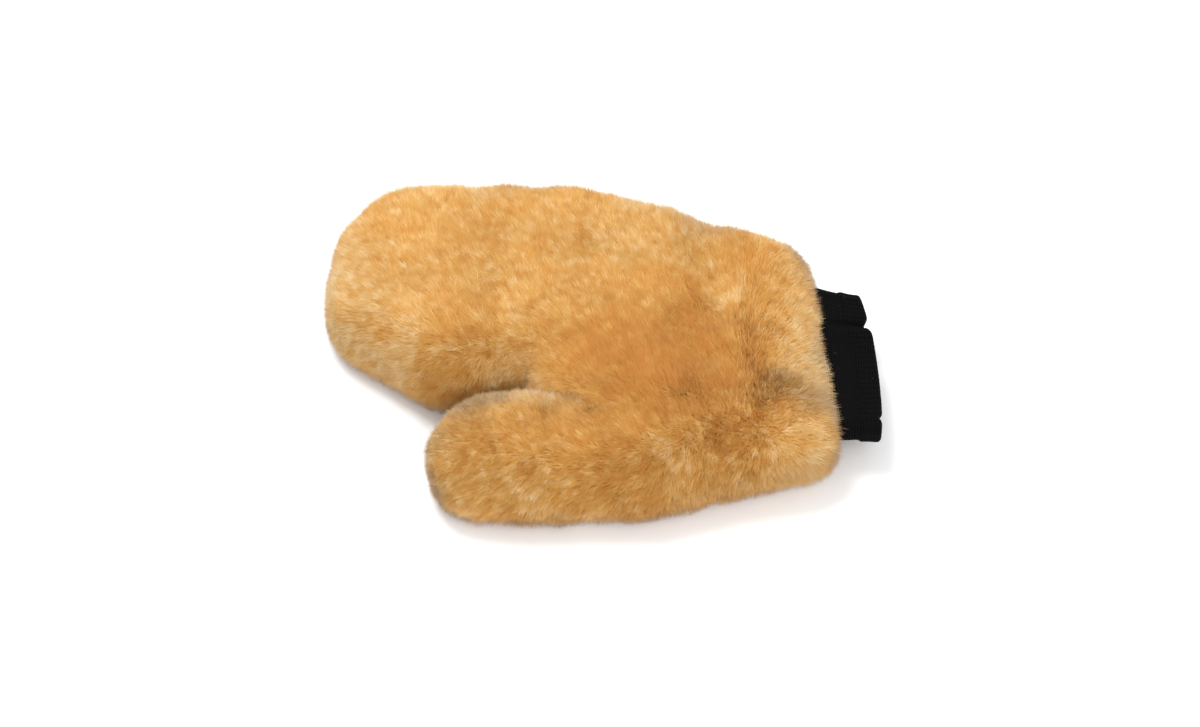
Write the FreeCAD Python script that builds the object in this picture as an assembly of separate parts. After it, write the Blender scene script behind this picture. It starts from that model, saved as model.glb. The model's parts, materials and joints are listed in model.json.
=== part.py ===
"""Sheepskin wash mitt with a thumb and a ribbed knit cuff, lying flat.

Frame: millimetres, +Z up, origin on the surface the mitt lies on, under the middle of its box.
The fingers point along -X, the cuff opens along +X, and the thumb is on the -Y side.

Two sheepskin panels, wool outwards, are sewn together round their edge, wool to wool, and turned.
Each panel is a leather hide with its fleece. The rim of each hide is turned inwards as a seam
allowance, and the stitches lie on it. The wrist is closed by a knit tube folded double at its hem.
The mitt bends at the knuckles, at the root of the thumb and at the wrist seam. A lobe that bends
ends in a round root about the bend's axis, and the hand is cut back to let that root turn.
"""
import FreeCAD, Part
import math
import os

V = FreeCAD.Vector

# ---- plan of the seam: round corners as discs (x, y, radius), joined by common tangents ----
PILE_REACH = 18.0           # how far the wool stands out past the seam, in plan
THUMB_GAP = 3.0             # between the wool of the fingers and the wool of the thumb's root
THUMB_R = 18.5              # seam radius at the thumb's root
KNUCKLE_X = -12.0
FINGERTIP_FAR = (-78.0, 51.5, 38.0)
FINGERTIP_NEAR = (-92.0, 31.0, 29.0)
KNUCKLE_FAR = (KNUCKLE_X, 53.5, 35.5)
FINGER_SIDE = (-66.0, 6.0, 21.0)
KNUCKLE_NEAR = (KNUCKLE_X, 13.0, 25.0)
FINGERS_NEAR_Y = KNUCKLE_NEAR[1] - KNUCKLE_NEAR[2] - PILE_REACH
THUMB_Y = FINGERS_NEAR_Y - THUMB_GAP - PILE_REACH - THUMB_R
THUMB_ROOT = (10.0, THUMB_Y, THUMB_R)
THUMB_TIP = (-48.0, THUMB_Y - 2.0, 18.0)
WRIST_NEAR = (95.0, THUMB_Y + 15.0, 10.0)
WRIST_FAR = (84.0, 41.5, 12.0)

# ---- heights ----
THICKNESS = 50.0            # top of the upper fleece
SEAM_Z = 21.5               # the plane in which the two panels meet
BOTTOM_FLEECE = 11.0        # wool under the lower hide, pressed flat
TOP_FLEECE = 18.0           # wool over the upper hide
HIDE = 1.8                  # leather

# ---- seam ----
ALLOWANCE = 5.0             # rim of each hide turned inwards
THREAD = 0.7                # diameter of the sewing thread
STITCH = 3.6                # length of one stitch
STITCH_PITCH = 5.0
STITCH_FROM_EDGE = 2.4      # from the rim's inner edge to the stitches
THREAD_GAP = 0.05

# ---- cuff ----
CUFF_WIDTH = 100.0
CUFF_THICKNESS = 15.0
CUFF_Y = -10.5
CUFF_AXIS_X = 108.0         # the wrist seam, where the cuff bends
CUFF_END_X = 139.0
PLY = 1.4                   # one layer of the rib knit
PLY_GAP = 0.9               # between the two layers
HEM_FOLD = 2.0              # solid fold at the hem
ELASTIC = 0.6               # diameter of an elastic yarn
ELASTIC_COUNT = 4
ELASTIC_PITCH = 2.4
ELASTIC_FROM_FOLD = 1.6
HIDE_END_X = 104.0          # wrist edge of the hides
WRIST_TAB = 18.0            # length of the straight, open end of the pocket

# ---- bends ----
RUNNING = 0.5               # room between a round root and its socket
FINGER_BEND = 60.0
THUMB_OPEN = 25.0
CUFF_TILT = 20.0

# ---- worked out ----
TOP_HIDE_Z = THICKNESS - TOP_FLEECE
MID_Z = THICKNESS / 2
FAR = 400.0

FINGER_DISCS = [KNUCKLE_FAR, FINGERTIP_FAR, FINGERTIP_NEAR, FINGER_SIDE, KNUCKLE_NEAR]
HAND_DISCS = [KNUCKLE_FAR, KNUCKLE_NEAR, THUMB_ROOT, WRIST_NEAR, WRIST_FAR]
THUMB_DISCS = [THUMB_TIP, THUMB_ROOT]

# (how far out from the seam, height) from the flat underside to the crowned top
FLEECE_PROFILE = [
    (PILE_REACH - 13.0, 0.0),
    (PILE_REACH - 6.5, 2.6),
    (PILE_REACH - 2.4, 8.0),
    (PILE_REACH - 0.3, 15.0),
    (PILE_REACH, SEAM_Z),
    (PILE_REACH - 1.0, 0.5 * (SEAM_Z + THICKNESS) - 4.5),
    (PILE_REACH - 4.2, THICKNESS - 10.0),
    (PILE_REACH - 10.0, THICKNESS - 4.0),
    (PILE_REACH - 21.0, THICKNESS),
]


def pocket_profile(skin):
    """The leather pocket's outer surface, moved inwards by skin: a flat pocket with rounded edges."""
    low, high = BOTTOM_FLEECE, TOP_HIDE_Z
    rise, drop = high - SEAM_Z, SEAM_Z - low
    return [
        (-skin - 7.0, low + skin),
        (-skin - 3.0, low + skin + 0.18 * drop),
        (-skin - 0.6, SEAM_Z - 0.45 * drop),
        (-skin, SEAM_Z),
        (-skin - 0.6, SEAM_Z + 0.45 * rise),
        (-skin - 3.0, high - skin - 0.18 * rise),
        (-skin - 7.0, high - skin),
    ]


def tangent_normal(a, b):
    """Outward unit normal of the common tangent from disc a to disc b, going anticlockwise."""
    dx, dy = b[0] - a[0], b[1] - a[1]
    length = math.hypot(dx, dy)
    along = (a[2] - b[2]) / length
    out = math.sqrt(1 - along * along)
    return (
        (along * dx + out * dy) / length,
        (along * dy - out * dx) / length,
    )


def plan_wire(discs, out, z):
    """The tangent hull of the discs, each radius plus out, as lines and arcs at height z."""
    discs = [(x, y, r + out) for x, y, r in discs]
    count = len(discs)
    normals = [tangent_normal(discs[i], discs[(i + 1) % count]) for i in range(count)]
    edges = []
    for i, (x, y, r) in enumerate(discs):
        before, after = normals[i - 1], normals[i]
        start = math.atan2(before[1], before[0])
        turn = (math.atan2(after[1], after[0]) - start) % (2 * math.pi)

        def on(angle):
            return V(x + r * math.cos(angle), y + r * math.sin(angle), z)

        edges.append(Part.Arc(on(start), on(start + turn / 2), on(start + turn)).toShape())
        nx, ny, nr = discs[(i + 1) % count]
        leave = V(x + r * after[0], y + r * after[1], z)
        reach = V(nx + nr * after[0], ny + nr * after[1], z)
        edges.append(Part.LineSegment(leave, reach).toShape())
    return Part.Wire(edges)


def stack(discs, profile):
    """A solid through the plan wires of a profile."""
    return Part.makeLoft([plan_wire(discs, out, z) for out, z in profile], True, True)


def plate(discs, out, z, height):
    """A flat plate of the plan, from z upwards."""
    face = Part.Face(plan_wire(discs, out, z))
    return face.extrude(V(0, 0, height))


def box(x0, x1, y0, y1, z0, z1):
    return Part.makeBox(x1 - x0, y1 - y0, z1 - z0, V(x0, y0, z0))


def cylinder_y(x, z, radius):
    return Part.makeCylinder(radius, 2 * FAR, V(x, -FAR, z), V(0, 1, 0))


def cylinder_z(x, y, radius):
    return Part.makeCylinder(radius, 2 * FAR, V(x, y, -FAR), V(0, 0, 1))


def prism_y(points):
    """A polygon in X and Z, carried right across in Y."""
    corners = [V(x, -FAR, z) for x, z in points]
    return Part.Face(Part.makePolygon(corners + corners[:1])).extrude(V(0, 2 * FAR, 0))


def turned_z(shape, x, y, degrees):
    copy = shape.copy()
    copy.rotate(V(x, y, 0), V(0, 0, 1), degrees)
    return copy


# ---- spaces that the bending lobes need ----

def finger_root():
    """Everything that goes with the fingers: past the knuckles, and the round root about them."""
    root = cylinder_y(KNUCKLE_X, MID_Z, MID_Z)
    root = root.common(box(-FAR, FAR, FINGERS_NEAR_Y, FAR, -FAR, FAR))
    return root.fuse(box(-FAR, KNUCKLE_X, -FAR, FAR, -FAR, FAR))


def finger_socket():
    """What the hand leaves free for the fingers: the root with its running gap, and the swing."""
    radius = MID_Z + RUNNING
    bend = math.radians(FINGER_BEND)
    past = radius * math.tan(bend / 2)
    swing = prism_y([
        (KNUCKLE_X, MID_Z),
        (KNUCKLE_X + radius * math.sin(bend), MID_Z + radius * math.cos(bend)),
        (KNUCKLE_X + past, MID_Z + radius),
        (KNUCKLE_X + past, FAR),
        (KNUCKLE_X, FAR),
    ])
    beyond = box(-FAR, KNUCKLE_X, -FAR, FAR, -FAR, FAR)
    web = box(KNUCKLE_X, KNUCKLE_X + radius, -FAR, FINGERS_NEAR_Y + RUNNING, -FAR, FAR)
    web = web.common(box(-FAR, FAR, THUMB_ROOT[1], FAR, -FAR, FAR))
    return cylinder_y(KNUCKLE_X, MID_Z, radius).fuse([swing, beyond, web])


def thumb_socket():
    """What the hand leaves free for the thumb: its root, and its swing between the two limits."""
    x, y, r = THUMB_ROOT
    room = plate(THUMB_DISCS, PILE_REACH + RUNNING, -1.0, THICKNESS + 2.0)
    step = 5.0
    swung = [turned_z(room, x, y, step * k) for k in range(int(THUMB_OPEN / step) + 1)]
    return cylinder_z(x, y, r + PILE_REACH + RUNNING).fuse(swung)


def cuff_socket():
    """The slot in the wrist end of the fleece that the cuff passes and tilts in."""
    half = CUFF_THICKNESS / 2 + RUNNING
    tilt = math.radians(CUFF_TILT)
    reach = CUFF_END_X - CUFF_AXIS_X
    flare = half / math.cos(tilt) + reach * math.tan(tilt)
    slot = prism_y([
        (HIDE_END_X - WRIST_TAB, SEAM_Z - half),
        (CUFF_AXIS_X, SEAM_Z - half / math.cos(tilt)),
        (CUFF_END_X, SEAM_Z - flare),
        (CUFF_END_X, SEAM_Z + flare),
        (CUFF_AXIS_X, SEAM_Z + half / math.cos(tilt)),
        (HIDE_END_X - WRIST_TAB, SEAM_Z + half),
    ])
    side = CUFF_WIDTH / 2 + RUNNING
    return slot.common(box(-FAR, FAR, CUFF_Y - side, CUFF_Y + side, -FAR, FAR))


def wrist_mouth(skin):
    """The open end of the pocket, as wide as the cuff, its height less skin above and below."""
    side = CUFF_WIDTH / 2 + RUNNING
    return box(
        HIDE_END_X - WRIST_TAB, HIDE_END_X, CUFF_Y - side, CUFF_Y + side,
        BOTTOM_FLEECE + skin, TOP_HIDE_Z - skin,
    )


# ---- the layers, lobe by lobe ----

def lobe_layers(discs):
    """The fleece's outside, the pocket of leather and the hollow, of one lobe."""
    return (
        stack(discs, FLEECE_PROFILE),
        stack(discs, pocket_profile(0.0)),
        stack(discs, pocket_profile(HIDE)),
    )


def seam_rims(discs, keep):
    """The turned-in rims of the upper and the lower hide."""
    outer, inner = -HIDE / 2, -HIDE - ALLOWANCE
    rims = []
    for z in (SEAM_Z, SEAM_Z - HIDE):
        ring = plate(discs, outer, z, HIDE).cut(plate(discs, inner, z - 1, HIDE + 2))
        rims.append(ring.common(keep))
    return rims


def panels(outside, pocket, hollow, rims, cutters, keep):
    """Upper and lower fleece, then upper and lower hide, of one lobe."""
    above = box(-FAR, FAR, -FAR, FAR, SEAM_Z, FAR)
    below = box(-FAR, FAR, -FAR, FAR, -FAR, SEAM_Z)
    wool = outside.cut(pocket).common(keep)
    leather = pocket.cut(hollow).common(keep)
    for cutter in cutters:
        wool = wool.cut(cutter)
        leather = leather.cut(cutter)
    found = [wool.common(above), wool.common(below)]
    for side, rim in ((above, rims[0]), (below, rims[1])):
        for cutter in cutters:
            rim = rim.cut(cutter)
        found.append(leather.common(side).fuse(rim).removeSplitter())
    return found


def stitches(discs, keep):
    """Lockstitches on both faces of the turned-in rims, one short bar each."""
    wire = plan_wire(discs, STITCH_FROM_EDGE - ALLOWANCE - HIDE, 0)
    count = int(wire.Length / STITCH_PITCH)
    lift = HIDE + THREAD / 2 + THREAD_GAP
    bars = []
    places = wire.discretize(Number=2 * count + 1)
    for k in range(count):
        start, end = places[2 * k], places[2 * k + 1]
        along = (end - start).normalize()
        if not keep(start) or not keep(end):
            continue
        for z in (SEAM_Z + lift, SEAM_Z - lift):
            foot = V(start.x, start.y, z)
            bars.append(Part.makeCylinder(THREAD / 2, STITCH, foot, along))
    return Part.makeCompound(bars)


def whole(shape):
    """Only the solids of a shape, without slivers, as one compound."""
    smallest = 5.0
    solids = [s for s in shape.Solids if s.Volume > smallest]
    return Part.makeCompound(solids)


# ---- the cuff ----

def band(inset, x0, x1):
    """A flattened tube's outline, moved inwards by inset, from x0 to x1."""
    half_y, half_z = CUFF_WIDTH / 2 - inset, CUFF_THICKNESS / 2 - inset
    flat = half_y - half_z
    a = V(x0, CUFF_Y - flat, SEAM_Z - half_z)
    b = V(x0, CUFF_Y + flat, SEAM_Z - half_z)
    c = V(x0, CUFF_Y + flat, SEAM_Z + half_z)
    d = V(x0, CUFF_Y - flat, SEAM_Z + half_z)
    right = V(x0, CUFF_Y + half_y, SEAM_Z)
    left = V(x0, CUFF_Y - half_y, SEAM_Z)
    wire = Part.Wire([
        Part.LineSegment(a, b).toShape(),
        Part.Arc(b, right, c).toShape(),
        Part.LineSegment(c, d).toShape(),
        Part.Arc(d, left, a).toShape(),
    ])
    return wire, Part.Face(wire).extrude(V(x1 - x0, 0, 0))


def cuff_parts():
    """The folded rib knit, its elastic yarns and the stitches that close the knit into a tube."""
    half = CUFF_THICKNESS / 2
    root_x = CUFF_AXIS_X - half
    wall = 2 * PLY + PLY_GAP
    knit = band(0.0, root_x, CUFF_END_X)[1].cut(band(wall, root_x - 1, CUFF_END_X + 1)[1])
    gap = band(PLY, root_x - 1, CUFF_END_X - HEM_FOLD)[1]
    gap = gap.cut(band(PLY + PLY_GAP, root_x - 2, CUFF_END_X)[1])
    hem = [e for e in knit.Edges if e.BoundBox.XMin > CUFF_END_X - 0.01]
    knit = knit.makeFillet(HEM_FOLD * 0.45, hem).cut(gap)
    round_root = cylinder_y(CUFF_AXIS_X, SEAM_Z, half)
    knit = knit.common(round_root.fuse(box(CUFF_AXIS_X, FAR, -FAR, FAR, -FAR, FAR)))
    yarns = []
    for k in range(ELASTIC_COUNT):
        x = CUFF_END_X - HEM_FOLD - ELASTIC_FROM_FOLD - k * ELASTIC_PITCH
        path = band(PLY + PLY_GAP / 2, x, x + 1)[0]
        ring = Part.Wire(Part.makeCircle(ELASTIC / 2, path.Vertexes[0].Point, V(0, 1, 0)))
        yarns.append(path.makePipeShell([ring], True, False))
    closing = []
    length = STITCH * 0.7
    runs = int((CUFF_END_X - HEM_FOLD - CUFF_AXIS_X) / STITCH_PITCH)
    for k in range(runs):
        x = CUFF_AXIS_X + 1.5 + k * STITCH_PITCH
        inner = CUFF_WIDTH / 2 - wall - THREAD / 2 - THREAD_GAP
        foot = V(x, CUFF_Y - inner, SEAM_Z)
        closing.append(Part.makeCylinder(THREAD / 2, length, foot, V(1, 0, 0)))
    return whole(knit), Part.makeCompound(yarns), Part.makeCompound(closing)


def wrist_stitches():
    """Stitches that hold the knit to the wrist edge of the two hides."""
    bars = []
    lift = HIDE + THREAD / 2 + THREAD_GAP
    count = int((CUFF_WIDTH - 10.0) / STITCH_PITCH)
    for k in range(count):
        y = CUFF_Y + (k - count / 2) * STITCH_PITCH
        for z in (BOTTOM_FLEECE + lift, TOP_HIDE_Z - lift):
            foot = V(HIDE_END_X - STITCH_FROM_EDGE, y, z)
            bars.append(Part.makeCylinder(THREAD / 2, STITCH, foot, V(0, 1, 0)))
    return Part.makeCompound(bars)


def main():
    os.makedirs("parts", exist_ok=True)
    everywhere = box(-FAR, FAR, -FAR, FAR, -FAR, FAR)
    past_knuckles = box(-FAR, KNUCKLE_X, -FAR, FAR, -FAR, FAR)
    this_side = box(KNUCKLE_X, FAR, -FAR, FAR, -FAR, FAR)
    finger = lobe_layers(FINGER_DISCS)
    hand = lobe_layers(HAND_DISCS)
    thumb = lobe_layers(THUMB_DISCS)
    nodes = {}

    # fingers: the lobe past the knuckles, with the round root taken from the hand's layers
    joined = [
        a.common(past_knuckles).fuse(b.common(this_side)).removeSplitter()
        for a, b in zip(finger, hand)
    ]
    finger_rims = seam_rims(FINGER_DISCS, past_knuckles)
    parts = panels(*joined, finger_rims, [], finger_root())
    for name, solid in zip(("top_fleece", "bottom_fleece", "top_hide", "bottom_hide"), parts):
        nodes["fingers_" + name] = solid

    # hand: palm and wrist, cut back for the fingers, the thumb and the cuff
    hand_rims = seam_rims(HAND_DISCS, box(KNUCKLE_X, HIDE_END_X - 12, -FAR, FAR, -FAR, FAR))
    cutters = [finger_socket(), thumb_socket(), cuff_socket()]
    parts = panels(*hand, hand_rims, cutters, this_side)
    hide_end = box(-FAR, HIDE_END_X, -FAR, FAR, -FAR, FAR)
    tabs = wrist_mouth(0.0).cut(wrist_mouth(HIDE)).Solids
    tabs.sort(key=lambda tab: -tab.CenterOfMass.z)
    for name, wool in zip(("top_fleece", "bottom_fleece"), parts):
        nodes["hand_" + name] = wool.cut(wrist_mouth(0.0))
    for name, leather, tab in zip(("top_hide", "bottom_hide"), parts[2:], tabs):
        nodes["hand_" + name] = leather.common(hide_end).cut(wrist_mouth(HIDE)).fuse(tab)

    # thumb: its own lobe, open to the hollow of the hand
    x, y, r = THUMB_ROOT
    thumb_rims = seam_rims(THUMB_DISCS, box(-FAR, x - 10, -FAR, FAR, -FAR, FAR))
    parts = panels(*thumb, thumb_rims, [hand[2]], everywhere)
    for name, solid in zip(("top_fleece", "bottom_fleece", "top_hide", "bottom_hide"), parts):
        nodes["thumb_" + name] = solid

    # stitches
    finger_low = KNUCKLE_X - STITCH_PITCH
    nodes["fingers_seam_stitches"] = stitches(FINGER_DISCS, lambda p: p.x < finger_low)
    nodes["thumb_seam_stitches"] = stitches(THUMB_DISCS, lambda p: p.x < x - 12)
    root_x = KNUCKLE_X + MID_Z + STITCH_PITCH

    def on_hand(p):
        clear = math.hypot(p.x - x, p.y - y) > r + PILE_REACH + STITCH_PITCH
        return root_x < p.x < HIDE_END_X - 18 and clear

    nodes["hand_seam_stitches"] = stitches(HAND_DISCS, on_hand)
    nodes["wrist_seam_stitches"] = wrist_stitches()
    nodes["rib_cuff"], nodes["cuff_hem_elastic"], nodes["cuff_closing_stitches"] = cuff_parts()

    for name, shape in nodes.items():
        if name.endswith(("fleece", "hide")):
            shape = whole(shape)
        valid = all(s.isValid() for s in shape.Solids)
        print(name, len(shape.Solids), round(shape.Volume), valid)
        shape.exportStep(os.path.join("parts", name + ".step"))


main()
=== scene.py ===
"""Looks of a sheepskin wash mitt with a thumb: sheared wool, suede pocket and a black rib knit cuff.

Lengths are metres and angles radians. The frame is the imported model's: fingers along -X, cuff
along +X, thumb on the -Y side, and the mitt lies on z = 0.

The wool is a soft undercoat, crowned like a pillow, with a pile of tapered hairs standing on it.
Hairs lean with a comb direction that wanders over the skin, and gather in locks.
"""

import json
import math

import bmesh
import bpy
import numpy as np
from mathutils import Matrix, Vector


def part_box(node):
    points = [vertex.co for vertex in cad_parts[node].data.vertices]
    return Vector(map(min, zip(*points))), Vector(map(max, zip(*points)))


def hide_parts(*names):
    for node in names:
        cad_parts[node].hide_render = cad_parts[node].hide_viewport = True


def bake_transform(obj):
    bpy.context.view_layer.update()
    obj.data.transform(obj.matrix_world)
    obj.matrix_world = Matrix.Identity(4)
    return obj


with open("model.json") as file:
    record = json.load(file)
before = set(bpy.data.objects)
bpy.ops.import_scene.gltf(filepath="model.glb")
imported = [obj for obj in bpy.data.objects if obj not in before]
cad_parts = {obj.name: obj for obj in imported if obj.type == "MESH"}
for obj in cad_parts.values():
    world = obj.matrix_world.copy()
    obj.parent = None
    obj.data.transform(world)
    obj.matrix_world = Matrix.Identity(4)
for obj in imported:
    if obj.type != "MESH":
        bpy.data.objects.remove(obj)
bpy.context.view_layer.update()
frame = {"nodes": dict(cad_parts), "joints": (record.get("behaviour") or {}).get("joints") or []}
MM = 0.001
JOINTS = {joint["name"]: joint for joint in frame["joints"]}


# ---- places, from the frame ----
KNUCKLE_X = JOINTS["finger_bend"]["pos_m"][0]
THUMB_X, THUMB_Y, SEAM_Z = JOINTS["thumb_spread"]["pos_m"]
CUFF_X, CUFF_Y, CUFF_Z = JOINTS["cuff_tilt"]["pos_m"]
TOP_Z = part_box("hand_top_fleece")[1].z
HEM_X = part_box("rib_cuff")[1].x
CUFF_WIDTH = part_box("rib_cuff")[1].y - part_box("rib_cuff")[0].y
CUFF_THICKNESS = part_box("rib_cuff")[1].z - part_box("rib_cuff")[0].z
WRIST_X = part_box("hand_top_hide")[1].x

# plan of the wool's outside: round corners as discs (x, y, radius), joined by common tangents
FINGERTIP_FAR = (-78 * MM, 51.5 * MM, 56 * MM)
FINGERTIP_NEAR = (-92 * MM, 31 * MM, 47 * MM)
FINGER_SIDE = (-66 * MM, 5 * MM, 40 * MM)
KNUCKLE_FAR = (KNUCKLE_X, 53.5 * MM, 53.5 * MM)
KNUCKLE_NEAR = (KNUCKLE_X + 8 * MM, 13 * MM, 43 * MM)
THUMB_ROOT = (THUMB_X, THUMB_Y, 36.5 * MM)
THUMB_TIP = (-48 * MM, THUMB_Y - 2 * MM, 36 * MM)
PALM_THUMB = (22 * MM, THUMB_Y, 36.5 * MM)
WRIST_NEAR = (95 * MM, THUMB_Y + 15 * MM, 28 * MM)
WRIST_FAR = (82 * MM, 41.5 * MM, 30 * MM)
FINGER_DISCS = (KNUCKLE_FAR, FINGERTIP_FAR, FINGERTIP_NEAR, FINGER_SIDE, KNUCKLE_NEAR)
HAND_DISCS = (KNUCKLE_FAR, PALM_THUMB, WRIST_NEAR, WRIST_FAR)
THUMB_DISCS = (THUMB_TIP, THUMB_ROOT)
POCKET = 18 * MM            # from the wool's outside to the hide
HIDE = 1.8 * MM             # thickness of the leather
HIDE_LOW, HIDE_HIGH = 11 * MM, 32 * MM      # lowest and highest leather
ALLOWANCE = 5 * MM          # of hide turned in at the seam

PILE = 7.5 * MM             # from the undercoat to the tips, square to the skin
SOLE = 2.2 * MM             # undercoat's lowest point: the wool below it is pressed flat
FLOOR_CLEAR = 0.3 * MM      # least height of a hair's ends
VOXEL = 3 * MM              # of the remesh that joins lobes
RIM_SAMPLES = 150           # round a full turn of a plan's corners
TOP_ROUND, SOLE_ROUND = 27 * MM, 15 * MM    # from the rim in to where top and sole are flat
SOLE_POWER = 2.6            # fuller than an ellipse, whose power is 2
PARTING = (56 * MM, 98 * MM)                # along X, where the pile turns over towards the cuff
BURIED = 4.5 * MM           # depth in another lobe at which no hair grows

# where the mitt bends: the two bodies, then where the bend begins and ends
FINGER_BLEND = ("hand", "fingers", (KNUCKLE_X + 20 * MM, 0, 0), (KNUCKLE_X - 44 * MM, 0, 0))
THUMB_FLEX = np.array([-0.93, -0.37])      # unit direction, across the thumb's root
THUMB_BLEND = (
    "hand", "thumb",
    (THUMB_X - 6 * MM * THUMB_FLEX[0], THUMB_Y - 6 * MM * THUMB_FLEX[1], 0),
    (THUMB_X + 34 * MM * THUMB_FLEX[0], THUMB_Y + 34 * MM * THUMB_FLEX[1], 0),
)


# ======================================================================= numbers

def unit(v):
    """Rows of v at length 1."""
    return v / np.maximum(np.linalg.norm(v, axis=-1, keepdims=True), 1e-12)


def lattice(cells, seed):
    """A repeatable number from 0 to 1 for every whole-numbered cell (rows of three)."""
    c = cells.astype(np.int64)
    mixed = c[..., 0] * 73856093 ^ c[..., 1] * 19349663 ^ c[..., 2] * 83492791 ^ seed * 2654435761
    mixed = (mixed ^ (mixed >> 13)) * 1274126177 & 0xFFFFFFFF
    mixed = (mixed ^ (mixed >> 16)) * 2246822519 & 0xFFFFFFFF
    return ((mixed ^ (mixed >> 15)) & 0xFFFFFF) / float(0xFFFFFF)


CORNERS = np.array([(i, j, k) for i in (0, 1) for j in (0, 1) for k in (0, 1)])
AROUND = np.array([(i, j, k) for i in (-1, 0, 1) for j in (-1, 0, 1) for k in (-1, 0, 1)])


def noise(points, size, seed):
    """Smooth noise from -1 to 1: lattice numbers blended by smoothstep, over cells of that size."""
    q = points / size
    cell = np.floor(q)
    f = q - cell
    f = f * f * (3 - 2 * f)
    total = np.zeros(len(points))
    for corner in CORNERS:
        share = np.prod(np.where(corner, f, 1 - f), axis=1)
        total += share * lattice(cell + corner, seed)
    return 2 * total - 1


def lock_of(points, size, seed):
    """The centre of the lock each point belongs to: the nearest of one jittered point per cell."""
    cell = np.floor(points / size)
    best = np.full(len(points), np.inf)
    centre = np.zeros_like(points)
    for shift in AROUND:
        c = cell + shift
        jitter = np.stack([lattice(c, seed + axis) for axis in range(3)], axis=1)
        p = (c + 0.1 + 0.8 * jitter) * size
        far = ((p - points) ** 2).sum(axis=1)
        nearer = far < best
        best[nearer] = far[nearer]
        centre[nearer] = p[nearer]
    return centre


def bell(points, x, y, wide, deep):
    """A soft round patch on the plan: 1 at (x, y), falling as a Gaussian."""
    return np.exp(-((points[:, 0] - x) / wide) ** 2 - ((points[:, 1] - y) / deep) ** 2)


def step(value, low, high):
    """Smoothstep from 0 at low to 1 at high."""
    t = np.clip((value - low) / (high - low), 0, 1)
    return t * t * (3 - 2 * t)


# ======================================================================= plan and lobes

def rim(discs, inset):
    """Round the plan of the discs: centre, radius and outward normal at each sample.

    A corner keeps its disc's centre and turns its normal; a straight side goes evenly from one
    disc to the next with one normal, because a common tangent touches both discs there.
    """
    discs = [np.array((x, y, r - inset)) for x, y, r in discs]
    count = len(discs)
    angles = []
    for a, b in zip(discs, discs[1:] + discs[:1]):
        dx, dy = b[:2] - a[:2]
        angles.append(math.atan2(dy, dx) - math.acos((a[2] - b[2]) / math.hypot(dx, dy)))
    rows = []
    for i in range(count):
        turn = (angles[i] - angles[i - 1]) % (2 * math.pi)
        corner = angles[i - 1] + turn * np.linspace(0, 1, max(3, int(RIM_SAMPLES * turn / 6.28)))
        rows.append(np.column_stack([np.tile(discs[i], (len(corner), 1)), corner]))
        share = np.linspace(0, 1, 14)[1:-1, None]
        side = discs[i] * (1 - share) + discs[(i + 1) % count] * share
        rows.append(np.column_stack([side, np.full(len(side), angles[i])]))
    table = np.concatenate(rows)
    normal = np.column_stack([np.cos(table[:, 3]), np.sin(table[:, 3])])
    return table[:, :2], table[:, 2], normal


def profile(depth, low, high):
    """Heights under and over the seam at a depth in from the rim.

    Over it a quarter of an ellipse, and under it a fuller quarter of a superellipse.
    """
    over = np.clip(depth / TOP_ROUND, 0, 1)
    under = np.clip(depth / SOLE_ROUND, 0, 1)
    top = SEAM_Z + (high - SEAM_Z) * np.sqrt(1 - (1 - over) ** 2)
    sole = SEAM_Z - (SEAM_Z - low) * (1 - (1 - under) ** SOLE_POWER) ** (1 / SOLE_POWER)
    return sole, top


class Lobe:
    """A pillow on a plan of discs: rings go in from the rim to the discs' centres, then to one pole."""

    def __init__(self, discs, inset, low, high):
        self.centre, self.radius, self.normal = rim(discs, inset)
        self.edge = self.centre + self.radius[:, None] * self.normal
        self.low, self.high = low, high

    def depth(self, points):
        """How far inside the rim, in plan: the least distance to any tangent line of the rim."""
        reach = (self.edge * self.normal).sum(axis=1)
        found = np.empty(len(points))
        for start in range(0, len(points), 20000):
            part = points[start:start + 20000, :2]
            found[start:start + 20000] = (reach - part @ self.normal.T).min(axis=1)
        return found

    def holds(self, points, margin):
        """Whether each point is more than margin inside the pillow."""
        depth = self.depth(points)
        sole, top = profile(depth, self.low, self.high)
        inside = (points[:, 2] < top - margin) & (points[:, 2] > sole + margin)
        return inside & (depth > margin)

    def rings(self):
        """The pillow's vertices and faces."""
        pole = self.centre.mean(axis=0)
        inward = 1 - np.cos(np.linspace(0, math.pi / 2, 16))
        out = self.radius[:, None] * self.normal
        level = [self.centre + out * (1 - share) for share in inward]
        level += [self.centre * (1 - share) + pole * share for share in (0.2, 0.4, 0.6, 0.8)]
        plan = np.array(level)
        depth = self.depth(plan.reshape(-1, 2)).reshape(plan.shape[:2])
        sole, top = profile(np.maximum(depth, 0), self.low, self.high)
        upper = np.dstack([plan, top])
        lower = np.dstack([plan, sole])[1:][::-1]
        sheets = np.concatenate([lower, upper])
        rows, columns = sheets.shape[:2]
        vertices = sheets.reshape(-1, 3)
        faces = grid_faces(rows, columns, closed=True)
        foot = np.array([[pole[0], pole[1], self.low], [pole[0], pole[1], self.high]])
        vertices = np.concatenate([vertices, foot])
        last = (rows - 1) * columns
        around = np.arange(columns)
        after = (around + 1) % columns
        fans = [(int(b), int(a), rows * columns) for a, b in zip(around, after)]
        fans += [(int(a) + last, int(b) + last, rows * columns + 1) for a, b in zip(around, after)]
        return vertices, faces.tolist() + fans


def grid_faces(rows, columns, closed):
    """Quads of a grid of vertices stored row by row; closed joins the last column to the first."""
    span = columns if closed else columns - 1
    i, j = np.meshgrid(np.arange(rows - 1), np.arange(span), indexing="ij")
    k = (j + 1) % columns
    quads = np.stack([i * columns + j, i * columns + k, (i + 1) * columns + k, (i + 1) * columns + j])
    return quads.reshape(4, -1).T


# ======================================================================= meshes

def link(name, mesh):
    """A new object of that mesh, in the scene."""
    piece = bpy.data.objects.new(name, mesh)
    bpy.context.scene.collection.objects.link(piece)
    return piece


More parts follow.
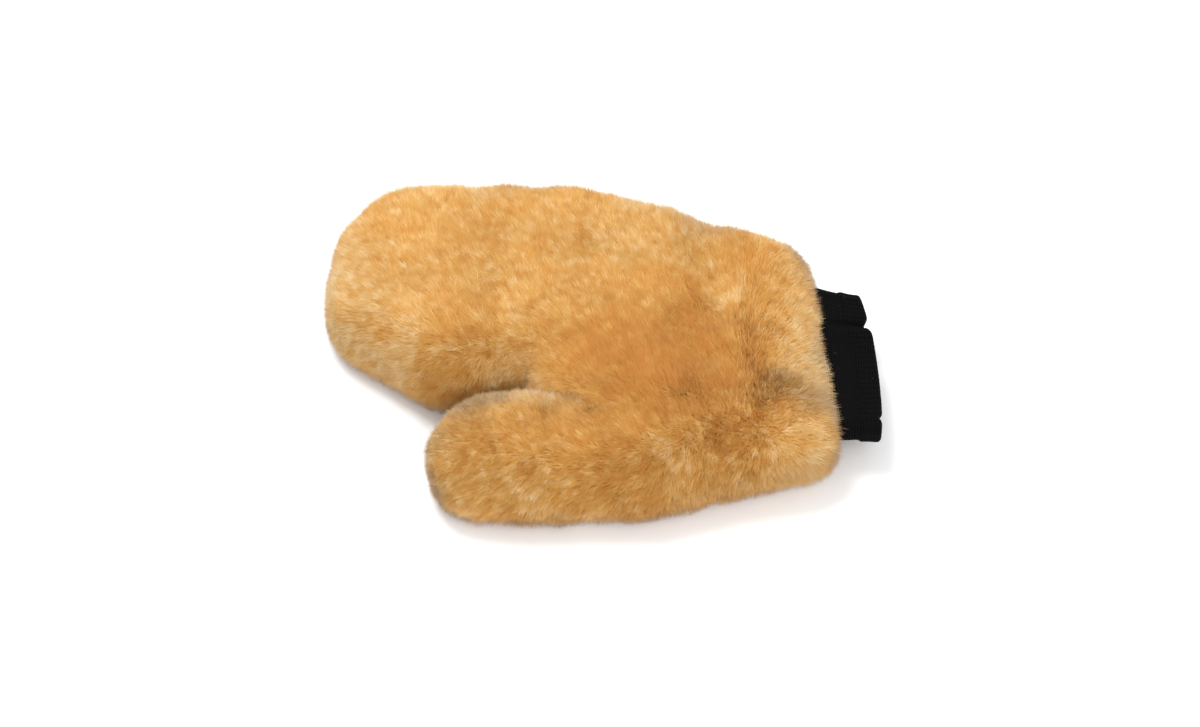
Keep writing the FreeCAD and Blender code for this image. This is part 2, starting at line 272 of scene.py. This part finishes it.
def solid(name, vertices, faces):
    """An object from arrays of vertices and faces, shaded smooth."""
    mesh = bpy.data.meshes.new(name)
    mesh.from_pydata(np.asarray(vertices).tolist(), [], faces)
    mesh.shade_smooth()
    return link(name, mesh)


def settle(piece):
    """Applies the piece's modifiers to its mesh."""
    bpy.context.view_layer.update()
    done = piece.evaluated_get(bpy.context.evaluated_depsgraph_get())
    mesh = bpy.data.meshes.new_from_object(done)
    old = piece.data
    piece.modifiers.clear()
    piece.data = mesh
    bpy.data.meshes.remove(old)
    mesh.name = piece.name
    mesh.shade_smooth()
    return piece


def modify(piece, kind, **settings):
    """Gives the piece a modifier of this kind, with these settings."""
    made = piece.modifiers.new(kind.title(), kind)
    for key, value in settings.items():
        setattr(made, key, value)


def arrays(mesh):
    """Vertices, vertex normals and triangles of a mesh as arrays."""
    co = np.empty(len(mesh.vertices) * 3)
    mesh.vertices.foreach_get("co", co)
    normals = np.empty(len(mesh.vertices) * 3)
    mesh.vertices.foreach_get("normal", normals)
    mesh.calc_loop_triangles()
    corners = np.empty(len(mesh.loop_triangles) * 3, np.int32)
    mesh.loop_triangles.foreach_get("vertices", corners)
    return co.reshape(-1, 3), normals.reshape(-1, 3), corners.reshape(-1, 3)


def put(mesh, co):
    """Moves the mesh's vertices to these places."""
    mesh.vertices.foreach_set("co", co.astype(np.float32).ravel())
    mesh.update()


def pillow(name, lobes):
    """One soft skin round the lobes: joined by a voxel remesh, then smoothed."""
    vertices, faces, base = [], [], 0
    for lobe in lobes:
        v, f = lobe.rings()
        vertices.append(v)
        faces += [tuple(int(n) + base for n in face) for face in f]
        base += len(v)
    piece = solid(name, np.concatenate(vertices), faces)
    modify(piece, "REMESH", mode="VOXEL", voxel_size=VOXEL, use_smooth_shade=True)
    modify(piece, "SMOOTH", factor=0.5, iterations=6)
    return settle(piece)


def open_wrist(piece, half_height):
    """Takes away the skin where the cuff comes out of it."""
    mesh = bmesh.new()
    mesh.from_mesh(piece.data)
    middle = np.array([face.calc_center_median() for face in mesh.faces])
    wide = np.abs(middle[:, 1] - CUFF_Y) < CUFF_WIDTH / 2 - 3 * MM
    high = np.abs(middle[:, 2] - CUFF_Z) < half_height
    gone = wide & high & (middle[:, 0] > WRIST_X - 14 * MM)
    faces = np.array(mesh.faces)[gone]
    bmesh.ops.delete(mesh, geom=list(faces), context="FACES")
    mesh.to_mesh(piece.data)
    mesh.free()


def lump(piece):
    """Pushes the skin in and out along its normals by slow noise, less on the sole."""
    co, normals = arrays(piece.data)[:2]
    push = 2.4 * MM * noise(co, 34 * MM, 3) + 1.5 * MM * noise(co, 15 * MM, 5)
    push *= 0.25 + 0.75 * step(co[:, 2], 6 * MM, 20 * MM)
    put(piece.data, co + normals * push[:, None])


# ======================================================================= materials

class Num:
    """A number socket that takes part in Python sums: each operator adds one Math node."""

    def __init__(self, finish, socket):
        self.finish, self.socket = finish, socket

    def _math(self, operation, *values):
        made = self.finish.node("Math", {"operation": operation}, dict(enumerate(values)))
        return Num(self.finish, made.outputs[0])

    def __add__(self, other):
        return self._math("ADD", self, other)

    def __sub__(self, other):
        return self._math("SUBTRACT", self, other)

    def __rsub__(self, other):
        return self._math("SUBTRACT", other, self)

    def __mul__(self, other):
        return self._math("MULTIPLY", self, other)

    def __gt__(self, other):
        return self._math("GREATER_THAN", self, other)

    def sine(self):
        return self._math("SINE", self)

    def fraction(self):
        return self._math("FRACT", self)

    def size(self):
        return self._math("ABSOLUTE", self)

    __radd__, __rmul__ = __add__, __mul__


class Finish:
    """A material being made. Every node but the first two comes from node()."""

    def __init__(self, name, **constants):
        self.material = bpy.data.materials.new(name)
        self.material.use_nodes = True
        self.tree = self.material.node_tree
        self.shader = self.tree.nodes["Principled BSDF"]
        for key, value in constants.items():
            self.shader.inputs[key.replace("_", " ").title()].default_value = value

    def node(self, kind, settings=None, inputs=None):
        """A node of this kind, its settings first, then its inputs by name or place."""
        made = self.tree.nodes.new("ShaderNode" + kind)
        for key, value in (settings or {}).items():
            if key == "stops":
                self._fill(made.color_ramp, value)
            else:
                setattr(made, key, value)
        for key, value in (inputs or {}).items():
            if isinstance(value, Num):
                value = value.socket
            if isinstance(value, bpy.types.NodeSocket):
                self.tree.links.new(value, made.inputs[key])
            else:
                made.inputs[key].default_value = value
        return made

    @staticmethod
    def _fill(ramp, stops):
        while len(ramp.elements) < len(stops):
            ramp.elements.new(0.5)
        for element, (place, colour) in zip(ramp.elements, stops):
            element.position = place
            element.color = (*colour, 1)

    def num(self, socket):
        return Num(self, socket)

    def place(self):
        return self.node("TexCoord").outputs["Object"]

    def noise(self, vector, scale, detail):
        made = self.node("TexNoise", {}, {"Vector": vector, "Scale": scale, "Detail": detail})
        return self.num(made.outputs["Fac"])

    def ramp(self, value, stops):
        return self.node("ValToRGB", {"stops": stops}, {"Fac": value}).outputs["Color"]

    def mix(self, factor, one, other):
        made = self.node("Mix", {"data_type": "RGBA"}, {0: factor, 6: one, 7: other})
        return made.outputs[2]

    def feed(self, name, value):
        if isinstance(value, Num):
            value = value.socket
        self.tree.links.new(value, self.shader.inputs[name])

    def bump(self, height, distance):
        made = self.node("Bump", {}, {"Height": height, "Distance": distance, "Strength": 1.0})
        self.feed("Normal", made.outputs["Normal"])


# the wool's colours, pale to dark
PALE = (0.86, 0.62, 0.32)
GOLD = (0.72, 0.385, 0.096)
TAN = (0.60, 0.27, 0.050)
RUST = (0.54, 0.20, 0.032)
UMBER = (0.42, 0.155, 0.030)


def wool_hair():
    """Hair colour from the hair's own map: across it the tone, pale to rust; along it root to tip."""
    f = Finish("wool_hair", roughness=0.75, sheen_weight=0.25, sheen_roughness=0.5)
    f.shader.inputs["Specular IOR Level"].default_value = 0.25
    at = f.node("UVMap", {"uv_map": "OFBake"}).outputs["UV"]
    split = f.node("SeparateXYZ", {}, {"Vector": at})
    tone, along = f.num(split.outputs["X"]), f.num(split.outputs["Y"])
    tip = f.ramp(tone, [(0.0, PALE), (0.35, GOLD), (0.65, TAN), (1.0, RUST)])
    root = f.ramp(tone, [(0.0, GOLD), (0.4, TAN), (0.8, RUST), (1.0, UMBER)])
    f.feed("Base Color", f.mix(f.ramp(along, [(0.0, (0, 0, 0)), (0.6, (1, 1, 1))]), root, tip))
    return f.material


def wool_undercoat():
    """The matted wool between the hairs: rusty, mottled and fuzzy."""
    f = Finish("wool_undercoat", roughness=0.95, sheen_weight=0.2)
    at = f.place()
    fine, broad = f.noise(at, 900.0, 4.0), f.noise(at, 60.0, 2.0)
    f.feed("Base Color", f.ramp(fine * 0.5 + broad * 0.5, [(0.3, RUST), (0.5, TAN), (0.72, GOLD)]))
    f.bump(fine, 0.0006)
    return f.material


def suede():
    """The flesh side of the hide: a matt nap with faint creases."""
    f = Finish("suede", roughness=0.9, sheen_weight=0.35)
    at = f.place()
    nap, cloud = f.noise(at, 2500.0, 3.0), f.noise(at, 45.0, 3.0)
    f.feed("Base Color", f.ramp(cloud, [(0.3, (0.42, 0.27, 0.16)), (0.7, (0.62, 0.45, 0.29))]))
    f.feed("Roughness", 0.8 + nap * 0.2)
    f.bump(nap * 0.6 + cloud, 0.0008)
    return f.material


def yarn(name, dark, light, scale):
    """Twisted yarn or thread: fine strands across its length."""
    f = Finish(name, roughness=0.8, sheen_weight=0.2)
    at = f.place()
    twist = f.noise(at, scale, 2.0)
    f.feed("Base Color", f.ramp(twist, [(0.35, dark), (0.65, light)]))
    f.bump(twist, 0.0003)
    return f.material


def rib_knit():
    """Black knit from the cuff's own map: V stitches in every rib with painted shade between the loops,
    lint, and a dusty sheen.
    """
    f = Finish("rib_knit", roughness=0.9)
    f.shader.inputs["Specular IOR Level"].default_value = 0.08
    split = f.node("SeparateXYZ", {}, {"Vector": f.node("UVMap", {"uv_map": "knit"}).outputs["UV"]})
    rib, course = f.num(split.outputs["X"]), f.num(split.outputs["Y"])
    across = (rib.fraction() - 0.5).size()
    loops = ((course + across * 0.9) * 6.28318).sine() * 0.5 + 0.5
    at = f.place()
    fuzz, lint = f.noise(at, 3000.0, 3.0), f.noise(at, 420.0, 5.0)
    thread = loops * 0.7 + fuzz * 0.3
    # painted shade: the black yarn is drawn darker where the stitch pattern is low, between the loops;
    # the fuzz varies it as fibres do
    black = f.ramp(thread, [(0.1, (0.0003, 0.0003, 0.0004)), (0.9, (0.0038, 0.0034, 0.0038))])
    f.feed("Base Color", f.mix((lint > 0.71) * 0.4, black, (0.05, 0.045, 0.04, 1)))
    f.feed("Roughness", 0.8 + fuzz * 0.2)
    f.bump(thread, 0.0005)
    return f.material


def paint(piece, material):
    """Gives the piece this one material."""
    piece.data.materials.clear()
    piece.data.materials.append(material)


# ======================================================================= wool

FINGERS = Lobe(FINGER_DISCS, PILE, SOLE, TOP_Z - PILE)
HAND = Lobe(HAND_DISCS, PILE, SOLE, TOP_Z - PILE)
THUMB = Lobe(THUMB_DISCS, PILE, SOLE, TOP_Z - PILE - 1.5 * MM)     # a little lower than the hand

WIDTH = 0.50 * MM           # of a hair at its root; real wool is finer, and comes in wisps this wide
LOCK, TUFT = 2.6 * MM, 9.0 * MM     # across the small and the large gatherings of the pile
SUNK = 0.8 * MM             # of a root, under the skin


def comb(points, normals):
    """Which way the pile is brushed, and how far it lies over, up to a length of 1.

    It fans out towards the fingertips, stands up at a parting near the wrist, and lies back over
    the cuff beyond it. Slow noise turns it.
    """
    x, y, z = points.T
    along = 2 * step(x, *PARTING) - 1
    across = 0.9 * (y - 5 * MM) / (100 * MM)
    turn = 1.15 * noise(points, 26 * MM, 11) + 0.6 * noise(points, 10 * MM, 13)
    c, s = np.cos(turn), np.sin(turn)
    down = -0.35 * step(30 * MM - z, 0, 20 * MM)
    way = np.column_stack([c * along - s * across, s * along + c * across, down])
    return way - (way * normals).sum(axis=1)[:, None] * normals


def tone_of(points, normals, locks, chance):
    """Tone of a hair, 0 pale to 1 rust: broad stains and faded places on the plan, and painted rim
    light.
    """
    tone = 0.42 + 0.15 * noise(points, 30 * MM, 21) + 0.09 * noise(points, 11 * MM, 22)
    for x, y, wide, deep, more in (
        (24, -38, 40, 50, 0.40), (-58, 18, 30, 26, 0.06), (-25, 60, 30, 20, 0.04),
        (-40, -80, 30, 20, 0.12), (72, 10, 12, 16, -0.30), (37, -82, 13, 11, -0.30),
        (102, -20, 12, 60, -0.30), (-120, 45, 26, 40, -0.10), (62, -15, 30, 42, 0.26),
    ):
        tone += more * bell(points, x * MM, y * MM, wide * MM, deep * MM)
    # painted rim light: hairs are made paler on the far side, at the fingertips and a little on the near
    # side, where light shows through the fur's edge
    far_rim_light = step(normals[:, 1], 0.1, 0.8)
    tips, near_rim_light = step(-normals[:, 0], 0.3, 0.9), step(-normals[:, 1], 0.3, 0.9)
    tone -= 0.25 * far_rim_light + 0.16 * tips + 0.05 * near_rim_light
    tone += 0.16 * noise(points, 2.4 * MM, 23) + 0.34 * noise(locks, 1.1 * MM, 24)
    return np.clip(tone + 0.36 * (chance - 0.5), 0.02, 0.98)


def scatter(piece, per_mm2, keep, seed):
    """Roots spread evenly over a mesh: each triangle gets hairs by its area, placed at random."""
    co, normals, triangles = arrays(piece.data)
    a, b, c = (co[triangles[:, k]] for k in range(3))
    area = 0.5 * np.linalg.norm(np.cross(b - a, c - a), axis=1)
    facing = normals[triangles].mean(axis=1)[:, 2]
    thin = np.where(facing < -0.6, 0.35, 1.0)       # fewer on the sole
    rng = np.random.default_rng(seed)
    number = rng.poisson(area * thin * per_mm2 / MM**2)
    which = np.repeat(np.arange(len(triangles)), number)
    u, v = rng.random((2, len(which)))
    fold = u + v > 1
    u[fold], v[fold] = 1 - u[fold], 1 - v[fold]
    weights = np.column_stack([1 - u - v, u, v])[:, :, None]
    roots = (co[triangles[which]] * weights).sum(axis=1)
    ups = unit((normals[triangles[which]] * weights).sum(axis=1))
    kept = keep(roots)
    return roots[kept], ups[kept], rng


def grow(roots, ups, locks, rng):
    """Root and tip of every hair: it starts under the skin and leans with the comb.

    Its direction is the skin's normal plus the comb's lean plus a little frizz. The tip then draws
    in towards the middle line of its lock, and a little towards the middle of its tuft.
    """
    count = len(roots)
    way = comb(roots, ups)
    tufts = lock_of(roots, TUFT, 41)
    lift = noise(tufts, 4 * MM, 51)
    lean = 0.72 + 0.28 * lift + 0.15 * rng.standard_normal(count)
    frizz = 0.20 * rng.standard_normal((count, 3))
    length = PILE * (1.10 + 0.08 * noise(tufts, 5 * MM, 61) + 0.07 * rng.standard_normal(count))
    length *= 1 + 0.12 * noise(locks, 1.1 * MM, 62)
    length *= 1 + 0.30 * step(roots[:, 0], 90 * MM, 102 * MM)
    start = roots - ups * SUNK
    tip = start + unit(ups + way * lean[:, None] + frizz) * length[:, None]
    gather, wide = locks - roots, tufts - roots
    gather -= (gather * ups).sum(axis=1)[:, None] * ups
    wide -= (wide * ups).sum(axis=1)[:, None] * ups
    hold = 0.74 + 0.30 * noise(locks, 5 * MM, 71)
    tip += hold[:, None] * gather + 0.10 * wide
    ends = np.stack([start, tip], axis=1)
    ends[:, :, 2] = np.maximum(ends[:, :, 2], (FLOOR_CLEAR + 0.5 * MM * rng.random(count))[:, None])
    return ends


def hairs(name, points, heading, ups, tone):
    """Hairs as spikes: three corners round the root and one tip, so that any side seen is a front.

    The corners stand at thirds of a turn about the hair's direction. Shading leans to the skin's
    normal, as a mat of fine hairs does. The map holds the tone across and root to tip along.
    """
    count = len(points)
    along = unit(heading)
    side = unit(np.cross(along, ups))
    rise = np.cross(side, along)
    spoke = [side, -0.5 * side + 0.866 * rise, -0.5 * side - 0.866 * rise]
    vertices = np.stack([points[:, 0] + arm * WIDTH / 2 for arm in spoke] + [points[:, 1]], axis=1)
    corners = np.array([1, 0, 3, 2, 1, 3, 0, 2, 3])
    mesh = bpy.data.meshes.new(name)
    mesh.vertices.add(count * 4)
    mesh.vertices.foreach_set("co", vertices.astype(np.float32).ravel())
    mesh.loops.add(count * 9)
    loops = corners + 4 * np.arange(count)[:, None]
    mesh.loops.foreach_set("vertex_index", loops.astype(np.int32).ravel())
    mesh.polygons.add(count * 3)
    mesh.polygons.foreach_set("loop_start", (3 * np.arange(count * 3)).astype(np.int32))
    mesh.update(calc_edges=True)
    maps = np.empty((count, 9, 2), np.float32)
    maps[:, :, 0] = tone[:, None] * 0.97 + 0.015 + np.array([-1, 0, 1, 0])[corners] * 0.006
    maps[:, :, 1] = np.array([0.01, 0.01, 0.01, 0.99])[corners]
    mesh.uv_layers.new(name="OFBake").data.foreach_set("uv", maps.ravel())
    mesh.shade_smooth()
    soft = [unit(0.85 * ups + 0.28 * arm) for arm in spoke + [rise]]
    mesh.normals_split_custom_set_from_vertices(np.stack(soft, axis=1).reshape(-1, 3))
    return link(name, mesh)


def fleece(name, skin, keep, per_mm2, parts, seed):
    """The pile of one skin, in pieces along X so that none is too heavy."""
    roots, ups, rng = scatter(skin, per_mm2, keep, seed)
    locks = lock_of(roots, LOCK, 31)
    ends = grow(roots, ups, locks, rng)
    heading = ends[:, 1] - ends[:, 0]
    tone = tone_of(roots, ups, locks, rng.random(len(roots)))
    bands = np.array_split(np.argsort(roots[:, 0], kind="stable"), parts)
    for number, band in enumerate(bands, 1):
        piece = hairs(f"{name}_{number}", ends[band], heading[band], ups[band], tone[band])
        paint(piece, HAIR)
        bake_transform(piece)


# ======================================================================= hides

POCKET_HAND = [Lobe(discs, POCKET, HIDE_LOW, HIDE_HIGH) for discs in (FINGER_DISCS, HAND_DISCS)]
POCKET_THUMB = [Lobe(THUMB_DISCS, POCKET, HIDE_LOW, HIDE_HIGH)]


def half_pocket(name, pocket, side):
    """One hide of a pocket: its skin on that side of the seam (1 up, -1 down), HIDE thick.

    At the seam the hide turns in by its allowance. The wrist is left open.
    """
    mesh = bmesh.new()
    mesh.from_mesh(pocket.data)
    seam = Vector((0, 0, SEAM_Z + side * 0.3 * MM))
    everything = mesh.verts[:] + mesh.edges[:] + mesh.faces[:]
    bmesh.ops.bisect_plane(mesh, geom=everything, plane_co=seam, plane_no=(0, 0, side), clear_inner=True)
    border = [edge for edge in mesh.edges if edge.is_boundary]
    turned = bmesh.ops.extrude_edge_only(mesh, edges=border)["geom"]
    for vertex in turned:
        if isinstance(vertex, bmesh.types.BMVert):
            old = next(e.other_vert(vertex) for e in vertex.link_edges
                       if (e.other_vert(vertex).co - vertex.co).length < 1e-7)
            out = Vector((old.normal.x, old.normal.y, 0))
            vertex.co -= out.normalized() * ALLOWANCE if out.length > 1e-6 else out
    mouth = [f for f in mesh.faces if f.calc_center_median().x > WRIST_X - 8 * MM]
    bmesh.ops.delete(mesh, geom=mouth, context="FACES")
    data = bpy.data.meshes.new(name)
    mesh.to_mesh(data)
    mesh.free()
    piece = link(name, data)
    modify(piece, "SOLIDIFY", thickness=HIDE, offset=-1.0)
    return settle(piece)


def hides():
    """The leather pocket: an upper and a lower hide for the hand and fingers, and for the thumb."""
    for name, lobes, bodies, blend, flat, area in (
        ("hand", POCKET_HAND, ("hand", "fingers"), FINGER_BLEND, (0.18, 0.235), 0.029),
        ("thumb", POCKET_THUMB, ("thumb",), THUMB_BLEND, (0.05, 0.10), 0.0045),
    ):
        pocket = pillow(f"pocket_{name}", lobes)
        for half, side in (("top", 1), ("bottom", -1)):
            piece = half_pocket(f"hide_{name}_{half}", pocket, side)
            paint(piece, SUEDE)
            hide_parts(*(f"{body}_{half}_hide" for body in bodies))
            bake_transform(piece)
        bpy.data.objects.remove(pocket)


# ======================================================================= cuff

RIBS = 60
RIB = 0.55 * MM             # how far a rib stands out
WALL = 3.7 * MM             # both layers and the gap between them
ELASTIC = 0.30 * MM         # radius of a hem yarn
COURSE = 1.3 * MM           # height of one knit stitch
BAND = 9 * MM               # depth of the hem band
BAND_RISE = 0.6 * MM        # how far the band stands out; its edge slopes over twice that
NOTCH_Y = 12 * MM           # place of the hem's notch, and of the crease behind it
CUFF_ROOT_X = CUFF_X - 6 * MM


def flat_tube(share):
    """Mid-wall of the flattened tube, once round for share 0 to 1: place and outward normal.

    Two straight runs joined by half circles, at even speed.
    """
    bend = CUFF_THICKNESS / 2 - WALL / 2
    run = CUFF_WIDTH - CUFF_THICKNESS
    round_ = math.pi * bend
    length = 2 * run + 2 * round_
    s = (share % 1) * length
    top, near, sole = s < run, s < run + round_, s < 2 * run + round_
    y = np.where(
        top, run / 2 - s,
        np.where(near, -run / 2, np.where(sole, s - 1.5 * run - round_, run / 2)),
    )
    angle = np.where(
        top, math.pi / 2,
        np.where(near, math.pi / 2 + (s - run) / bend,
                 np.where(sole, 1.5 * math.pi, 1.5 * math.pi + (s - 2 * run - round_) / bend)),
    )
    out = np.stack([np.cos(angle), np.sin(angle)])
    return y + bend * out[0], bend * out[1], out


def hem_reach(y):
    """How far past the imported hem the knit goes: a bowed line with one notch and a rolled corner."""
    bow = 3.6 * MM - 8.0 * MM * ((y + 36 * MM) / (80 * MM)) ** 2
    notch = -3.5 * MM * np.exp(-((y - NOTCH_Y) / (4.0 * MM)) ** 2)
    roll = -1.6 * MM * np.exp(-((y + 53 * MM) / (1.6 * MM)) ** 2)
    return bow + notch + roll


def slump(place):
    """How the free knit lies: a crease behind the notch, a soft roll beside it, and a narrower hem."""
    x, y, z = place[..., 0], place[..., 1], place[..., 2]
    free = step(x, CUFF_X - 4 * MM, CUFF_X + 30 * MM)
    crease = -3.2 * MM * np.exp(-((y - NOTCH_Y) / (3.0 * MM)) ** 2)
    roll = 1.4 * MM * np.exp(-((y - 4 * MM) / (7 * MM)) ** 2) + 1.0 * MM * np.sin(y / (17 * MM))
    narrow = 9 * MM * step(y, -20 * MM, 42 * MM)
    return np.stack([x, y - free * narrow, z + free * (crease + roll)], axis=-1)


def in_cuff(piece, material):
    """Paints a piece of the cuff and bakes its placement into its mesh."""
    paint(piece, material)
    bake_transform(piece)


def closing_stitches():
    """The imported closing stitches, laid where the knit lies."""
    node = frame["nodes"]["cuff_closing_stitches"]
    mesh = node.data.copy()
    mesh.transform(node.matrix_world)
    piece = link("closing_stitches_laid", mesh)
    put(mesh, slump(arrays(mesh)[0]))
    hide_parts("cuff_closing_stitches")
    in_cuff(piece, BLACK_THREAD)


def hem_elastics():
    """Four elastic yarns in the hem: round tubes swept once round the flattened tube's mid-wall."""
    low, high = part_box("cuff_hem_elastic")
    share = np.arange(400) / 400
    y, z, out = flat_tube(share)
    turn = np.arange(8) / 8 * 2 * math.pi
    x = hem_reach(y + CUFF_Y)[:, None] + ELASTIC * np.cos(turn)
    yy = y[:, None] + out[0][:, None] * ELASTIC * np.sin(turn) + CUFF_Y
    zz = z[:, None] + out[1][:, None] * ELASTIC * np.sin(turn) + CUFF_Z
    rows = grid_faces(len(share) + 1, len(turn), closed=True) % (len(share) * len(turn))
    vertices, faces = [], []
    for number, centre in enumerate(np.linspace(low.x + ELASTIC, high.x - ELASTIC, 4)):
        vertices.append(slump(np.stack([centre + x, yy, zz], axis=-1)).reshape(-1, 3))
        faces += (rows + number * len(vertices[0])).tolist()
    piece = solid("hem_elastics", np.concatenate(vertices), faces)
    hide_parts("cuff_hem_elastic")
    in_cuff(piece, BLACK_THREAD)


def knit_map(piece, x):
    """The map named knit: rib number round the wrist, and course number from the root."""
    columns = x.shape[1]
    loops = np.empty(len(piece.data.loops), np.int32)
    piece.data.loops.foreach_get("vertex_index", loops)
    column = (loops % columns).astype(float).reshape(-1, 4)
    wrap = (column.max(axis=1) - column.min(axis=1)) > 2
    column[wrap] = np.where(column[wrap] < 2, column[wrap] + columns, column[wrap])
    row = (loops // columns).reshape(-1, 4)
    travel = (x - CUFF_ROOT_X)[row, (loops % columns).reshape(-1, 4)]
    flat = np.stack([column / columns * RIBS, travel / COURSE], axis=-1)
    maps = piece.data.uv_layers.new(name="knit")
    maps.data.foreach_set("uv", flat.astype(np.float32).ravel())


def cuff():
    """The double rib knit: a closed skin round the wall's own outline, once round the wrist.

    Along the wall's outline the surface runs out over the outer layer, turns the hem in a half
    circle and comes back inside. Ribs are a rectified cosine of the way round, higher on the hem
    band. A crease runs back from the notch.
    """
    columns, rows = RIBS * 12, 30       # twelve columns to a rib
    share = np.arange(columns) / columns
    y, z, out = flat_tube(share)
    end = HEM_X - WALL / 2 + hem_reach(y + CUFF_Y)
    rib = np.abs(np.cos(math.pi * RIBS * share)) ** 0.8
    lane = np.linspace(0, 1, rows)
    turn = np.linspace(math.pi / 2, -math.pi / 2, 9)[1:-1]
    outer = [(CUFF_ROOT_X + (end - CUFF_ROOT_X) * along, 1.0) for along in lane]
    hem = [(end + WALL / 2 * math.cos(angle), math.sin(angle)) for angle in turn]
    inner = [(reach, -1.0) for reach, _ in outer[::-1]]
    level = outer + hem + inner
    x = np.array([reach for reach, _ in level])
    side = np.array([face for _, face in level])[:, None]
    band = step(x, (end - BAND - BAND_RISE)[None, :], (end - BAND + BAND_RISE)[None, :])
    relief = RIB * (0.15 + 0.85 * band) * rib[None, :] + BAND_RISE * band
    wobble = 0.25 * MM * noise(
        np.stack([x, np.broadcast_to(y, x.shape), np.broadcast_to(z, x.shape)], axis=-1).reshape(-1, 3),
        5 * MM, 81,
    ).reshape(x.shape)
    reach = side * (WALL / 2 - RIB) + np.sign(side) * relief * np.abs(side) + wobble
    yy = y[None, :] + out[0][None, :] * reach + CUFF_Y
    zz = z[None, :] + out[1][None, :] * reach + CUFF_Z
    vertices = slump(np.stack([x, yy, zz], axis=-1))
    total = len(level)
    faces = grid_faces(total + 1, columns, closed=True) % (total * columns)
    piece = solid("rib_cuff_knit", vertices.reshape(-1, 3), faces.tolist())
    knit_map(piece, x)
    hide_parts("rib_cuff")
    in_cuff(piece, KNIT)


# ======================================================================= making

HAIR, UNDERCOAT, SUEDE, KNIT = wool_hair(), wool_undercoat(), suede(), rib_knit()
THREAD = yarn("waxed_thread", (0.35, 0.22, 0.10), (0.62, 0.45, 0.26), 2500.0)
BLACK_THREAD = yarn("black_thread", (0.004, 0.004, 0.004), (0.02, 0.02, 0.02), 2500.0)


def camera_and_lights():
    """Camera high in front of the thumb's side, and a bright soft studio."""
    elevation, distance = math.radians(48), 1.5
    aside, below = 1.5 * MM, 5.75 * MM      # the mitt stands a little left of and above the middle
    target = Vector((3 * MM, -4.5 * MM, 22 * MM))
    back = Vector((0, -math.cos(elevation), math.sin(elevation)))
    up = Vector((0, math.sin(elevation), math.cos(elevation)))
    aim = target + Vector((aside, 0, 0)) - up * below
    camera = bpy.data.objects.new("camera", bpy.data.cameras.new("camera"))
    camera.data.lens = 90
    camera.location = aim + back * distance
    camera.rotation_euler = back.to_track_quat("Z", "Y").to_euler()
    bpy.context.scene.collection.objects.link(camera)
    bpy.context.scene.camera = camera
    for name, place, size, watts in (
        ("key", (-0.40, 0.40, 1.35), 0.6, 15.5),
        ("fill", (0.5, -1.1, 0.9), 1.4, 16.0),
    ):
        lamp = bpy.data.lights.new(name, "AREA")
        lamp.size, lamp.energy = size, watts
        holder = bpy.data.objects.new(name, lamp)
        holder.location = place
        holder.rotation_euler = Vector(place).to_track_quat("Z", "Y").to_euler()
        bpy.context.scene.collection.objects.link(holder)
    world = bpy.data.worlds.new("studio")
    world.use_nodes = True
    world.node_tree.nodes["Background"].inputs["Color"].default_value = (1, 1, 1, 1)
    world.node_tree.nodes["Background"].inputs["Strength"].default_value = 0.80
    bpy.context.scene.world = world
    bpy.context.scene.view_settings.view_transform = "Standard"


def floor():
    """A pale floor, wide enough for every view."""
    half = 30.0
    corners = [(-half, -half, 0), (half, -half, 0), (half, half, 0), (-half, half, 0)]
    piece = solid("floor", np.array(corners), [(0, 1, 2, 3)])
    f = Finish("pale_floor", roughness=0.9)
    f.shader.inputs["Base Color"].default_value = (0.88, 0.88, 0.885, 1)
    paint(piece, f.material)


def wool():
    """The undercoats and the pile of the hand with its fingers, and of the thumb."""
    hand = pillow("undercoat_hand", [FINGERS, HAND])
    lump(hand)
    open_wrist(hand, CUFF_THICKNESS / 2 - 1 * MM)
    thumb = pillow("undercoat_thumb", [THUMB])
    lump(thumb)
    for piece, blend, nodes in (
        (hand, FINGER_BLEND, ("hand_top_fleece", "hand_bottom_fleece",
                              "fingers_top_fleece", "fingers_bottom_fleece")),
        (thumb, THUMB_BLEND, ("thumb_top_fleece", "thumb_bottom_fleece")),
    ):
        paint(piece, UNDERCOAT)
        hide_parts(*nodes)
        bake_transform(piece)

    def on_hand(p):
        return ~THUMB.holds(p, BURIED)

    def on_thumb(p):
        return ~(FINGERS.holds(p, BURIED) | HAND.holds(p, BURIED))

    density = 6.6        # spikes on a square millimetre
    fleece("pile_hand", hand, on_hand, density, 8, seed=1)
    fleece("pile_thumb", thumb, on_thumb, density, 2, seed=2)


def cad_finishes():
    """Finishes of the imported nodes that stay."""
    for name, node in frame["nodes"].items():
        if name.endswith("stitches"):
            paint(node, THREAD)


camera_and_lights()
floor()
wool()
hides()
cuff()
closing_stitches()
hem_elastics()
cad_finishes()
